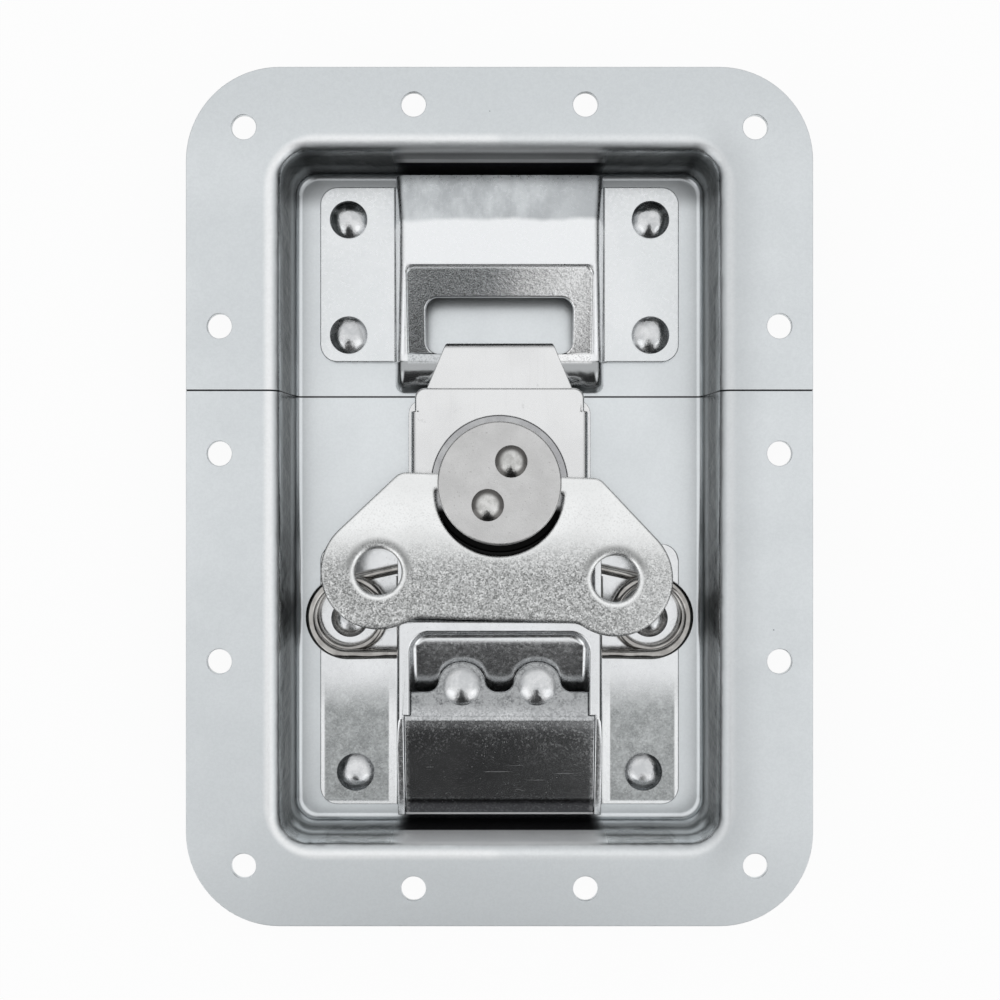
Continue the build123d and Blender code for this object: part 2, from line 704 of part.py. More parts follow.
def crank():
    """Crank pin: drives the claw and holds the cam down through it."""
    head_bottom = swing_bottom + crank_fit
    head_top = claw_bottom - crank_fit
    spigot_top = groove_floor - crank_fit
    head = Pos(0, -throw, head_bottom) * extrude(Circle(crank_head / 2), head_top - head_bottom)
    stem = Pos(0, -throw, head_top) * extrude(Circle(crank_pin / 2), housing_bottom - head_top)
    spigot_length = spigot_top - housing_bottom
    spigot = Pos(0, -throw, housing_bottom) * extrude(Circle(crank_spigot / 2), spigot_length)
    return turned(head + stem + spigot)


def cover_disc():
    """Round cover that traps the handle's bar in the cam groove."""
    disc = Pos(0, 0, hub_top) * extrude(Circle(cover_radius), cover_thickness)
    disc = fillet(disc.edges().group_by(Axis.Z)[-1], cover_edge)
    for x, y in cover_rivet_places():
        disc -= drill(x, y, cover_shank + 2 * rivet_fit)
    return turned(disc)


def handle():
    """Butterfly handle: a flat plate with two lobes, an opening and its own hinge bar."""
    top = bar_width / 2
    lobe_x, lobe_y = lobe
    diagonal = lobe_radius * sqrt(0.5)
    tangent = (lobe_x + diagonal, lobe_y + diagonal)
    corner_x = tangent[0] - (top - tangent[1])
    plan = Sketch() + make_face(Polyline(
        (corner_x, top), tangent, (lobe_x, lobe_y), (lobe_x, handle_bottom), (-lobe_x, handle_bottom),
        (-lobe_x, lobe_y), (-tangent[0], tangent[1]), (-corner_x, top), close=True))
    plan += [Pos(side * lobe_x, lobe_y) * Circle(lobe_radius) for side in (-1, 1)]
    shoulders = plan.vertices().filter_by(lambda v: abs(v.Y - top) < 0.01)
    plan = fillet(shoulders, shoulder_blend)
    waist = plan.vertices().filter_by(lambda v: abs(v.Y - handle_bottom) < 0.01)
    plan = fillet(waist, lobe_blend)
    plan -= Pos(0, -top) * Circle(opening_radius) & Pos(0, -top - opening_radius) * Rectangle(
        4 * opening_radius, 2 * opening_radius)
    plan -= [Pos(side * lobe_x, lobe_y) * Circle(finger_hole / 2) for side in (-1, 1)]
    plate = Pos(0, 0, bar_z - handle_thickness / 2) * extrude(plan, handle_thickness)
    upper_face = bar_z + handle_thickness / 2
    half = handle_thickness / 2
    hole_rims = [e for e in plate.edges().filter_by(GeomType.CIRCLE)
                 if abs(e.radius - finger_hole / 2) < 0.01 and e.center().Z > bar_z]
    plate = fillet(hole_rims, finger_hole_edge)
    dimple = finger_hole / 2 + finger_hole_edge
    flat_rims = [e for e in plate.edges() if abs(e.center().Z - bar_z) > half - 0.01]
    outer_rims = [e for e in flat_rims if e.geom_type != GeomType.CIRCLE or abs(e.radius - dimple) > 0.01]
    return turned(fillet(outer_rims, handle_edge))


# ---------------------------------------------------------------- rivets

def dish_rivets(places, names):
    """Rivets through a bracket wing and the dish floor, with tails flattened on the back."""
    made = {}
    solid = rivet(head_width, head_height, rivet_shank, wing_top, 0, tail_width, tail_height)
    for (x, y), name in zip(places, names):
        made[name + "_left"] = Pos(-x, y, 0) * solid
        made[name + "_right"] = Pos(x, y, 0) * solid
    return made


def other_rivets():
    """The rivets of the ramp cover and those of the cover disc."""
    ramp_tail = ledge_under - pocket_sheet - ramp_tail_height
    ramp = rivet(ramp_head_width, ramp_head_height, rivet_shank, ledge_z, ramp_tail,
                 ramp_tail_width, ramp_tail_height)
    cover_tail = cover_top - cover_shank_length
    cover = rivet(cover_head_width, cover_head_height, cover_shank, cover_top, cover_tail)
    made = {"ramp_rivet_left": Pos(-ramp_rivets[0], ramp_rivets[1], 0) * ramp,
            "ramp_rivet_right": Pos(ramp_rivets[0], ramp_rivets[1], 0) * ramp}
    for (x, y), name in zip(cover_rivet_places(), ("upper", "lower")):
        made["cover_rivet_" + name] = turned(Pos(x, y, 0) * cover)
    return made


# ---------------------------------------------------------------- write the parts

def main():
    lid_half, base_half = dish_halves()
    nodes = {
        "lid_dish": lid_half,
        "base_dish": base_half,
        "keeper": keeper(),
        "latch_base": latch_base(),
        "ramp_cover": ramp_cover(),
        "spring_wire": spring(),
        "swing_plate": swing_plate(),
        "claw_housing": housing(),
        "claw": claw(),
        "cam": cam(),
        "crank_pin": crank(),
        "cover_disc": cover_disc(),
        "handle": handle(),
    }
    nodes.update(dish_rivets(keeper_rivets, ("keeper_rivet_rear", "keeper_rivet_front")))
    nodes.update(dish_rivets(base_rivets, ("base_rivet_front", "base_rivet_rear")))
    nodes.update(other_rivets())
    os.makedirs("parts", exist_ok=True)
    for name, solid in nodes.items():
        solid.label = name
        export_step(solid, f"parts/{name}.step")
        print(name, len(solid.solids()), round(solid.volume, 2))
    levels = {"hinge": hinge_z, "housing": housing_top, "bar": bar_z, "cover": cover_top}
    print("levels over the floor:", {name: round(level - floor, 2) for name, level in levels.items()})


main()
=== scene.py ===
import json
import math
import bmesh
import bpy
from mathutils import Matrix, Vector
from mathutils.kdtree import KDTree


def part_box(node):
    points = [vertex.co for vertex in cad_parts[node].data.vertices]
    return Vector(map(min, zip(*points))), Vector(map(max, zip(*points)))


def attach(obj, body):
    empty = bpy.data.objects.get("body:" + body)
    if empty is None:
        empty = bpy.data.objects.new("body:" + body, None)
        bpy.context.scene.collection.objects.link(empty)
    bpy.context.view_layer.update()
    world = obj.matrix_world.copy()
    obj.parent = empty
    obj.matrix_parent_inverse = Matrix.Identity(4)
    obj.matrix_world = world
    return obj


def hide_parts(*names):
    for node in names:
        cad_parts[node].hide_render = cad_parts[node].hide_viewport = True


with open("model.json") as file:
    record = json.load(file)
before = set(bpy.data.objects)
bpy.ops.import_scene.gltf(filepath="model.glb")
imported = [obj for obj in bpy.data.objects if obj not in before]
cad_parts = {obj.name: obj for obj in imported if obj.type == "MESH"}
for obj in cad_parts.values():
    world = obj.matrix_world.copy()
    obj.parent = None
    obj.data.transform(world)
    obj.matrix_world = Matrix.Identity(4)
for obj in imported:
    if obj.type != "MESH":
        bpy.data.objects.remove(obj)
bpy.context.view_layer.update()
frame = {"nodes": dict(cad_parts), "record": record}
mm = 0.001
scene = bpy.context.scene


# node helpers, shared by every material

def startNodes(owner, source="Object", scale=1 / mm):
    owner.use_nodes = True
    tree = owner.node_tree
    place = tree.nodes.new("ShaderNodeTexCoord")
    sized = tree.nodes.new("ShaderNodeMapping")
    sized.inputs["Scale"].default_value = (scale, scale, scale)
    tree.links.new(place.outputs[source], sized.inputs["Vector"])
    split = tree.nodes.new("ShaderNodeSeparateXYZ")
    tree.links.new(sized.outputs["Vector"], split.inputs[0])
    return {"tree": tree, "place": sized.outputs["Vector"], "x": split.outputs["X"],
            "y": split.outputs["Y"], "z": split.outputs["Z"]}


def feed(kit, socket, value):
    # a socket takes another node's output, or a plain number or colour
    if isinstance(value, bpy.types.NodeSocket):
        kit["tree"].links.new(value, socket)
    elif isinstance(value, tuple) and len(value) == 3 and socket.type == "RGBA":
        socket.default_value = (*value, 1)
    else:
        socket.default_value = value


def maths(kit, operation, *values):
    node = kit["tree"].nodes.new("ShaderNodeMath")
    node.operation = operation
    for socket, value in zip(node.inputs, values):
        feed(kit, socket, value)
    return node.outputs[0]


def step(kit, source, low, high, lowValue=0.0, highValue=1.0):
    # smooth change from one value to another
    node = kit["tree"].nodes.new("ShaderNodeMapRange")
    node.interpolation_type = "SMOOTHSTEP"
    values = {"Value": source, "From Min": low, "From Max": high, "To Min": lowValue, "To Max": highValue}
    for key, value in values.items():
        feed(kit, node.inputs[key], value)
    return node.outputs["Result"]


def times(kit, first, second):
    # two masks at once, or a mask at a share of its strength
    return maths(kit, "MULTIPLY", first, second)


def either(kit, first, second):
    return maths(kit, "MAXIMUM", first, second)


def without(kit, mask):
    return maths(kit, "SUBTRACT", 1.0, mask)


def fromMiddle(kit, axis):
    # distance from the middle plane, whichever side
    return maths(kit, "ABSOLUTE", kit[axis])


def fade(kit, source, low, high):
    # from 1 down to 0
    return step(kit, source, low, high, 1.0, 0.0)


def band(kit, source, low, high, soft):
    # 1 between two places, fading over soft at each end
    rise = step(kit, source, low - soft, low + soft)
    return times(kit, rise, fade(kit, source, high - soft, high + soft))


def staged(kit, source, stops):
    # a value that runs smoothly through several stops
    (start, level), *rest = stops
    value = level
    for place, nextLevel in rest:
        value = maths(kit, "ADD", value, step(kit, source, start, place, 0.0, nextLevel - level))
        start, level = place, nextLevel
    return value


def between(kit, mask, first, second):
    # first where the mask is 0, second where it is 1
    node = kit["tree"].nodes.new("ShaderNodeMix")
    flat = isinstance(second, (int, float)) or (
        isinstance(second, bpy.types.NodeSocket) and second.type == "VALUE")
    node.data_type = "FLOAT" if flat else "RGBA"
    inputs = [s for s in node.inputs if s.enabled]
    for socket, value in zip(inputs, (mask, first, second)):
        feed(kit, socket, value)
    return [s for s in node.outputs if s.enabled][0]


noisePatch = 0.5                 # a patch of noise is about this wide at scale 1


def noise(kit, size, detail=2.0, rough=0.5, stretch=(1, 1, 1), turn=0.0):
    # patches about size mm across
    mapping = kit["tree"].nodes.new("ShaderNodeMapping")
    mapping.inputs["Scale"].default_value = stretch
    mapping.inputs["Rotation"].default_value = (0, 0, math.radians(turn))
    kit["tree"].links.new(kit["place"], mapping.inputs["Vector"])
    texture = kit["tree"].nodes.new("ShaderNodeTexNoise")
    texture.inputs["Scale"].default_value = noisePatch / size
    texture.inputs["Detail"].default_value = detail
    texture.inputs["Roughness"].default_value = rough
    kit["tree"].links.new(mapping.outputs["Vector"], texture.inputs["Vector"])
    return texture.outputs["Fac"]


patchEdges = (0.36, 0.64)        # noise levels between which soft patches come in
grainEdges = (0.3, 0.7)          # the same for fine grain


def patches(kit, size, detail=4.0, rough=0.5, edges=patchEdges):
    return step(kit, noise(kit, size, detail, rough), *edges)


def grained(kit, grain, span):
    # a value that follows the grain from one end of a span to the other
    return step(kit, grain, *grainEdges, *span)


def crystals(kit, size):
    # facets about size mm across, each with one random value
    texture = kit["tree"].nodes.new("ShaderNodeTexVoronoi")
    texture.inputs["Scale"].default_value = 1 / size
    kit["tree"].links.new(kit["place"], texture.inputs["Vector"])
    split = kit["tree"].nodes.new("ShaderNodeSeparateColor")
    kit["tree"].links.new(texture.outputs["Color"], split.inputs[0])
    return split.outputs[0]


speckEdges = (0.4, 0.6)          # share of a dot's size at which it starts and ends its fade


def specks(kit, spacing, size):
    # scattered dots, 1 inside a dot
    texture = kit["tree"].nodes.new("ShaderNodeTexVoronoi")
    texture.inputs["Scale"].default_value = 1 / spacing
    kit["tree"].links.new(kit["place"], texture.inputs["Vector"])
    return fade(kit, texture.outputs["Distance"], *(size / spacing * edge for edge in speckEdges))


scratchSoft = 0.04


def scratches(kit, turn, length, width, amount):
    # thin broken lines along one direction
    fine = noise(kit, width, 1.0, 0.5, (width / length, 1, 1), turn)
    return step(kit, fine, 1 - amount, 1 - amount + scratchSoft)


roundLook = {"samples": 6, "lean": (0.90, 0.995)}     # cosines of how far a normal leans at an edge


def nearEdge(kit, width):
    # 1 close to a sharp edge, and the normal of a rounded one
    rounded = kit["tree"].nodes.new("ShaderNodeBevel")
    rounded.samples = roundLook["samples"]
    rounded.inputs["Radius"].default_value = width * mm
    plain = kit["tree"].nodes.new("ShaderNodeNewGeometry")
    lean = kit["tree"].nodes.new("ShaderNodeVectorMath")
    lean.operation = "DOT_PRODUCT"
    kit["tree"].links.new(rounded.outputs["Normal"], lean.inputs[0])
    kit["tree"].links.new(plain.outputs["Normal"], lean.inputs[1])
    return fade(kit, lean.outputs["Value"], *roundLook["lean"]), rounded.outputs["Normal"]


def reach(kit, centres):
    # distance in mm to the nearest of some upright axes
    least = None
    for x, y in centres:
        across = maths(kit, "SUBTRACT", kit["x"], x)
        along = maths(kit, "SUBTRACT", kit["y"], y)
        square = maths(kit, "ADD", times(kit, across, across), times(kit, along, along))
        away = maths(kit, "POWER", square, 0.5)
        least = away if least is None else maths(kit, "MINIMUM", least, away)
    return least


def outside(kit, halfX, halfY, corner):
    # distance in mm outward from a rounded rectangle round the origin, for points near its line
    squares = []
    for axis, half in (("x", halfX), ("y", halfY)):
        over = maths(kit, "MAXIMUM", maths(kit, "SUBTRACT", fromMiddle(kit, axis), half - corner), 0.0)
        squares.append(times(kit, over, over))
    return maths(kit, "SUBTRACT", maths(kit, "SQRT", maths(kit, "ADD", *squares)), corner)


def middleOf(nodeName):
    low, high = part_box(nodeName)
    return ((low[0] + high[0]) / 2 / mm, (low[1] + high[1]) / 2 / mm)


def raised(kit, height, depth, below=None):
    # bump of depth mm, on top of another bump
    node = kit["tree"].nodes.new("ShaderNodeBump")
    node.inputs["Distance"].default_value = depth * mm
    feed(kit, node.inputs["Height"], height)
    if below:
        feed(kit, node.inputs["Normal"], below)
    return node.outputs["Normal"]


def finishMetal(name, paint):
    # paint(kit) gives the colour, roughness and normal of a plated metal
    material = bpy.data.materials.new(name)
    kit = startNodes(material)
    shader = kit["tree"].nodes["Principled BSDF"]
    shader.inputs["Metallic"].default_value = 1.0
    colour, roughness, normal = paint(kit)
    feed(kit, shader.inputs["Base Color"], colour)
    feed(kit, shader.inputs["Roughness"], roughness)
    feed(kit, shader.inputs["Normal"], normal)
    return material


# stage and light

stageLook = {
    "floorRadius": 3.0,
    "floorDrop": 0.2,        # mm under the rivet tails
    "floorSides": 96,
    "floorColour": (0.93, 0.93, 0.93),
    "floorOwnGlow": 0.93,    # share of the floor that is plain white, the rest takes shade
}
roomLook = {
    "tint": (0.985, 0.993, 1.0),
    # brightness from the table up, as (sine of the height, level)
    "levels": ((0.0, 0.05), (0.12, 0.10), (0.30, 0.40), (0.50, 0.72), (0.72, 0.93), (1.0, 0.93)),
    # dark camera stand on the -Y side: where it starts, then slope and start of each flank
    "standStart": 0.295,
    "standRight": (0.62, 0.0),
    "standLeft": (0.45, 0.13),
    "standSoft": 0.03,
    "standLevel": 0.035,
    # bright soft boxes low on the -Y side, as (direction, edge, core, added level)
    "boxes": (((-0.66, -0.55, 0.52), 0.93, 0.975, 0.6), ((0.66, -0.55, 0.52), 0.93, 0.975, 0.6)),
}


def stagePiece(name, work, material):
    mesh = bpy.data.meshes.new(name)
    work.to_mesh(mesh)
    work.free()
    piece = bpy.data.objects.new(name, mesh)
    scene.collection.objects.link(piece)
    mesh.materials.append(material)
    return piece


def floorMaterial():
    # camera and mirror rays see mostly plain white, the rest is matte and keeps the shadow
    material = bpy.data.materials.new("paleFloor")
    kit = startNodes(material)
    nodes, links = kit["tree"].nodes, kit["tree"].links
    nodes.remove(nodes["Principled BSDF"])
    matte = nodes.new("ShaderNodeBsdfDiffuse")
    matte.inputs["Color"].default_value = (*stageLook["floorColour"], 1)
    white = nodes.new("ShaderNodeEmission")
    path = nodes.new("ShaderNodeLightPath")
    seen = either(kit, path.outputs["Is Camera Ray"], path.outputs["Is Glossy Ray"])
    seen = either(kit, seen, path.outputs["Is Transmission Ray"])
    glow = times(kit, seen, stageLook["floorOwnGlow"])
    mix = nodes.new("ShaderNodeMixShader")
    links.new(glow, mix.inputs[0])
    links.new(matte.outputs[0], mix.inputs[1])
    links.new(white.outputs[0], mix.inputs[2])
    links.new(mix.outputs[0], nodes["Material Output"].inputs["Surface"])
    return material


def makeFloor():
    work = bmesh.new()
    bmesh.ops.create_circle(work, cap_ends=True, segments=stageLook["floorSides"], radius=stageLook["floorRadius"])
    bmesh.ops.translate(work, verts=work.verts, vec=(0, 0, -stageLook["floorDrop"] * mm))
    stagePiece("floor", work, floorMaterial())


def towards(kit, direction):
    # cosine of the angle to one direction
    aim = Vector(direction).normalized()
    parts = [times(kit, kit[axis], getattr(aim, axis)) for axis in "xyz"]
    return maths(kit, "ADD", maths(kit, "ADD", parts[0], parts[1]), parts[2])


def makeWorld():
    # a pale room, darker near the table and where the camera stand is
    world = bpy.data.worlds.new("paleRoom")
    world.use_nodes = True
    kit = startNodes(world, "Generated", 1.0)
    nodes = kit["tree"].nodes
    level = staged(kit, kit["z"], roomLook["levels"])
    away = maths(kit, "SUBTRACT", times(kit, kit["y"], -1.0), roomLook["standStart"])
    soft = roomLook["standSoft"]
    slope, offset = roomLook["standRight"]
    right = maths(kit, "SUBTRACT", maths(kit, "MULTIPLY_ADD", away, slope, offset), kit["x"])
    slope, offset = roomLook["standLeft"]
    left = maths(kit, "ADD", maths(kit, "MULTIPLY_ADD", away, slope, offset), kit["x"])
    stand = times(kit, step(kit, right, -soft, soft), step(kit, left, -soft, soft))
    stand = times(kit, stand, step(kit, away, -soft, soft))
    for direction, edge, core, added in roomLook["boxes"]:
        level = maths(kit, "ADD", level, step(kit, towards(kit, direction), edge, core, 0.0, added))
    level = between(kit, stand, level, roomLook["standLevel"])
    path = nodes.new("ShaderNodeLightPath")
    level = between(kit, path.outputs["Is Camera Ray"], level, 1.0)
    background = nodes["Background"]
    background.inputs["Color"].default_value = (*roomLook["tint"], 1)
    feed(kit, background.inputs["Strength"], level)
    scene.world = world


cameraPlace = {"x": 0.1, "y": -0.7, "height": 248.2, "lens": 41.1, "sensor": 36, "near": 0.01}


def makeCamera():
    data = bpy.data.cameras.new("camera")
    data.lens = cameraPlace["lens"]
    data.sensor_width = cameraPlace["sensor"]
    data.clip_start = cameraPlace["near"]
    camera = bpy.data.objects.new("camera", data)
    scene.collection.objects.link(camera)
    camera.location = Vector((cameraPlace["x"], cameraPlace["y"], cameraPlace["height"])) * mm
    scene.camera = camera


makeFloor()
makeWorld()
makeCamera()
scene.view_settings.view_transform = "Standard"
print("stage ready")


# pressed dishes

dishLook = {
    "pale": (0.80, 0.83, 0.845), "dark": (0.745, 0.775, 0.79), "cloud": 13.0,
    "streak": 2.2, "streakStretch": (1, 0.25, 1), "streakShare": 0.25,
    "endTone": (0.72, 0.75, 0.765), "endFrom": (62.0, 84.0),     # a little duller towards the ends
    # painted shade of the drawn walls from the floor bend up to the rim bend, as (height in mm, share of full
    # tone)
    "sideWall": ((2.9, 1.0), (3.5, 0.45), (4.4, 0.10), (6.4, 0.22), (8.6, 0.03), (12.6, 0.05), (14.6, 0.20),
                 (15.8, 0.62), (17.0, 1.0)),
    "endWall": ((2.9, 1.0), (3.9, 0.75), (5.7, 0.30), (7.6, 0.08), (9.9, 0.62), (11.7, 0.16), (13.2, 0.60),
                (15.8, 1.0), (17.0, 1.0)),
    "endWallFrom": (-67.0, -69.0),       # y where the paler wall of the base end starts
    "wallShadeTone": (0.0, 0.004, 0.004),
    "wall": (3.4, 16.3), "wallSoft": 0.6,                        # heights the walls run between
    "mark": 1.3, "markStretch": 0.12, "markShift": 3.0,          # drawing marks along the walls
    "sidesFrom": (42.0, 43.0),           # x where the end walls turn into side walls
    # painted shade on the floor at the lid end
    "floorEnd": (61.0, 65.5), "floorTop": (3.6, 4.4), "floorEndTone": 0.45,     # dimmer at the lid end
    # painted shade on the end walls behind the keeper and the ramp, as (height in mm, share of the rim's tone)
    "behindKeeper": ((9.2, 0.0), (9.8, 0.95), (10.9, 0.90), (11.9, 0.40), (14.0, 0.25), (15.6, 0.6),
                     (17.0, 1.0)),
    "behindRamp": ((8.8, 0.0), (9.6, 1.0)), "behindRoughness": 0.62,
    "hidden": (19.0, 22.5), "hiddenTop": (15.6, 16.8), "hiddenTone": (0.03, 0.03, 0.033),
    "hiddenLid": (66.5, 68.5), "hiddenBase": (66.5, 67.5),
    # the mouth of the recess as half width, half length and corner, and the painted highlight on the bend round it
    "mouth": (45.9, 71.6, 9.0), "rim": (0.0, 1.6), "rimSoft": 0.7, "rimTop": (16.4, 16.9),
    "rimTone": (0.97, 0.98, 0.985), "rimMiddle": (-2.0, 2.0), "rimRight": 0.5,
    # painted shade on the right of the rim bend
    "shadeFrom": (40.0, 46.4), "shadeTop": (15.8, 16.9), "shadeOut": (1.0, 9.0), "shadeShare": 0.22,
    "seam": 21.5, "seamShade": 0.17, "seamSoft": 0.06,           # where the two halves meet
    "speckSpacing": 11.0, "speckSize": 0.3, "speckTone": (0.36, 0.38, 0.39),
    # dust; its tone also colours the painted shade on the right of the rim bend
    "dust": 0.3, "dustEdges": (0.40, 0.60), "dustShare": 0.05, "dustAndShadeTone": (0.3, 0.31, 0.32),
    "roughness": (0.40, 0.48), "floorEdge": (3.0, 4.0), "floorRoughness": 0.30, "wallRoughness": 0.26,
    "grain": 0.35, "grainDepth": 0.006,
    "ripple": 1.6, "rippleStretch": (1, 1, 0.6), "rippleDepth": 0.30,
}


def paintedWallShade(kit, wall, across):
    # painted shade: share of full tone, in bands that the drawing marks shift up and down
    look = dishLook
    thin = look["markStretch"]
    lengthwise = noise(kit, look["mark"], 4.0, 0.6, (1, thin, 1))
    crosswise = noise(kit, look["mark"], 4.0, 0.6, (thin, 1, 1))
    mark = between(kit, step(kit, across, *look["sidesFrom"]), crosswise, lengthwise)
    shift = times(kit, maths(kit, "SUBTRACT", mark, 0.5), look["markShift"])
    height = between(kit, wall, kit["z"], maths(kit, "ADD", kit["z"], shift))
    lowEnd = step(kit, kit["y"], *look["endWallFrom"])
    return between(kit, lowEnd, staged(kit, height, look["sideWall"]), staged(kit, height, look["endWall"]))


def shadedEnds(kit, across, colour):
    # painted shade: the middle of each end wall stands in the shade of the plate before it
    look = dishLook
    inside = times(kit, fade(kit, across, *look["hidden"]), fade(kit, kit["z"], *look["hiddenTop"]))
    shaded = 0.0
    for sign, key, stops in ((1.0, "hiddenLid", "behindKeeper"), (-1.0, "hiddenBase", "behindRamp")):
        behind = times(kit, step(kit, times(kit, kit["y"], sign), *look[key]), inside)
        tone = between(kit, staged(kit, kit["z"], look[stops]), look["hiddenTone"], look["rimTone"])
        colour = between(kit, behind, colour, tone)
        shaded = either(kit, shaded, behind)
    return colour, shaded


def mouthBend(kit, colour):
    # painted highlight on the outer part of the rim bend, weaker on the right, and painted shade on the right
    look = dishLook
    away = outside(kit, *look["mouth"])
    rim = times(kit, band(kit, away, *look["rim"], look["rimSoft"]), step(kit, kit["z"], *look["rimTop"]))
    rim = times(kit, rim, step(kit, kit["x"], *look["rimMiddle"], 1.0, look["rimRight"]))
    colour = between(kit, rim, colour, look["rimTone"])
    right = times(kit, step(kit, kit["x"], *look["shadeFrom"]), step(kit, kit["z"], *look["shadeTop"]))
    right = times(kit, right, fade(kit, away, *look["shadeOut"]))
    return between(kit, times(kit, right, look["shadeShare"]), colour, look["dustAndShadeTone"])


def dishPaint(kit):
    look = dishLook
    wall = band(kit, kit["z"], *look["wall"], look["wallSoft"])
    across = fromMiddle(kit, "x")
    colour = between(kit, patches(kit, look["cloud"]), look["dark"], look["pale"])
    streak = step(kit, noise(kit, look["streak"], 3.0, 0.6, look["streakStretch"]), *grainEdges)
    colour = between(kit, times(kit, streak, look["streakShare"]), colour, look["dark"])
    colour = between(kit, step(kit, fromMiddle(kit, "y"), *look["endFrom"]), colour, look["endTone"])
    # painted shade bands on the drawn walls
    colour = between(kit, paintedWallShade(kit, wall, across), look["wallShadeTone"], colour)
    # painted shade on the floor by the lid end wall
    dim = times(kit, step(kit, kit["y"], *look["floorEnd"]), fade(kit, kit["z"], *look["floorTop"]))
    colour = between(kit, times(kit, dim, look["floorEndTone"]), colour, look["hiddenTone"])
    colour, shaded = shadedEnds(kit, across, colour)
    colour = mouthBend(kit, colour)
    seam = (look["seam"] - look["seamShade"], look["seam"] + look["seamShade"])
    colour = between(kit, band(kit, kit["y"], *seam, look["seamSoft"]), colour, look["hiddenTone"])
    colour = between(kit, specks(kit, look["speckSpacing"], look["speckSize"]), colour, look["speckTone"])
    dust = times(kit, patches(kit, look["dust"], 2.0, 0.8, look["dustEdges"]), look["dustShare"])
    colour = between(kit, times(kit, dust, without(kit, wall)), colour, look["dustAndShadeTone"])
    grain = noise(kit, look["grain"], 2.0, 0.7)
    rough = grained(kit, grain, look["roughness"])
    rough = between(kit, fade(kit, kit["z"], *look["floorEdge"]), rough, look["floorRoughness"])
    rough = between(kit, wall, rough, look["wallRoughness"])
    rough = between(kit, shaded, rough, look["behindRoughness"])
    ripple = times(kit, noise(kit, look["ripple"], 3.0, 0.55, look["rippleStretch"]), wall)
    normal = raised(kit, ripple, look["rippleDepth"])
    return colour, rough, raised(kit, grain, look["grainDepth"], normal)


# keeper

keeperLook = {
    "pale": (0.87, 0.885, 0.895), "dark": (0.82, 0.84, 0.85), "cloud": 7.0,
    "arch": 22.5, "archSoft": 0.2,       # half width of the raised arch
    "archTone": (0.93, 0.94, 0.95),
    # the rear panel: where it starts and how far that line wanders, then its two painted shade tones
    "slopeFrom": (56.8, 58.2), "drift": 5.0, "driftBy": 2.0,
    "slopeTone": (0.68, 0.705, 0.72), "slopeDark": (0.50, 0.52, 0.535),
    "slopeShade": (6.0, 22.0), "slopeCloud": 3.0, "slopeStretch": (1, 0.5, 1), "slopeEdges": (0.35, 0.65),
    # painted shade on the downturned lip
    "lipTo": 28.6, "lipSoft": 0.2, "lipTone": (0.42, 0.43, 0.435), "lipRoughness": 0.17,
    "lipBlob": 3.0, "lipDepth": 0.22,
    # the coined frame round the window, with a painted reflection, dark on the left and bright on the right
    "coin": (28.3, 47.6), "coinSoft": 0.5, "coinHalf": 19.4, "coinSideSoft": 0.3,
    "coinDark": (0.66, 0.68, 0.69), "coinBright": (1.0, 1.0, 1.0), "coinTurn": (0.0, 9.0),
    "coinPatch": 1.5, "coinPatchBy": 6.0, "coinRoughness": 0.13,
    "crystal": 0.24, "crystalEdges": (0.55, 0.95), "crystalShare": 0.30, "crystalTone": (0.16, 0.165, 0.17),
    "sparkle": 0.4, "sparkleFacet": 0.5, "sparkleDepth": 0.016,
    "roughness": (0.26, 0.36), "grain": 0.35, "grainDepth": 0.004,
    "scratch": (62.0, 9.0, 0.12, 0.13), "scratchShare": 0.5, "scratchTone": (0.34, 0.35, 0.36),
}


def rearPanelShade(kit):
    # painted shade: the rear panel darker than the arch top, darker again towards the right and in patches
    look = keeperLook
    shaded = between(kit, step(kit, kit["x"], *look["slopeShade"]), look["slopeTone"], look["slopeDark"])
    cloud = step(kit, noise(kit, look["slopeCloud"], 4.0, 0.6, look["slopeStretch"]), *look["slopeEdges"])
    return between(kit, cloud, shaded, look["slopeDark"])


def coinReflectionTone(kit, facet):
    # painted reflection: dark on the left, bright on the right, with dull facets
    look = keeperLook
    wander = times(kit, noise(kit, look["coinPatch"], 4.0, 0.7), look["coinPatchBy"])
    turn = step(kit, maths(kit, "ADD", kit["x"], wander), *look["coinTurn"])
    tone = between(kit, turn, look["coinDark"], look["coinBright"])
    dull = times(kit, step(kit, facet, *look["crystalEdges"]), look["crystalShare"])
    return between(kit, dull, tone, look["crystalTone"])


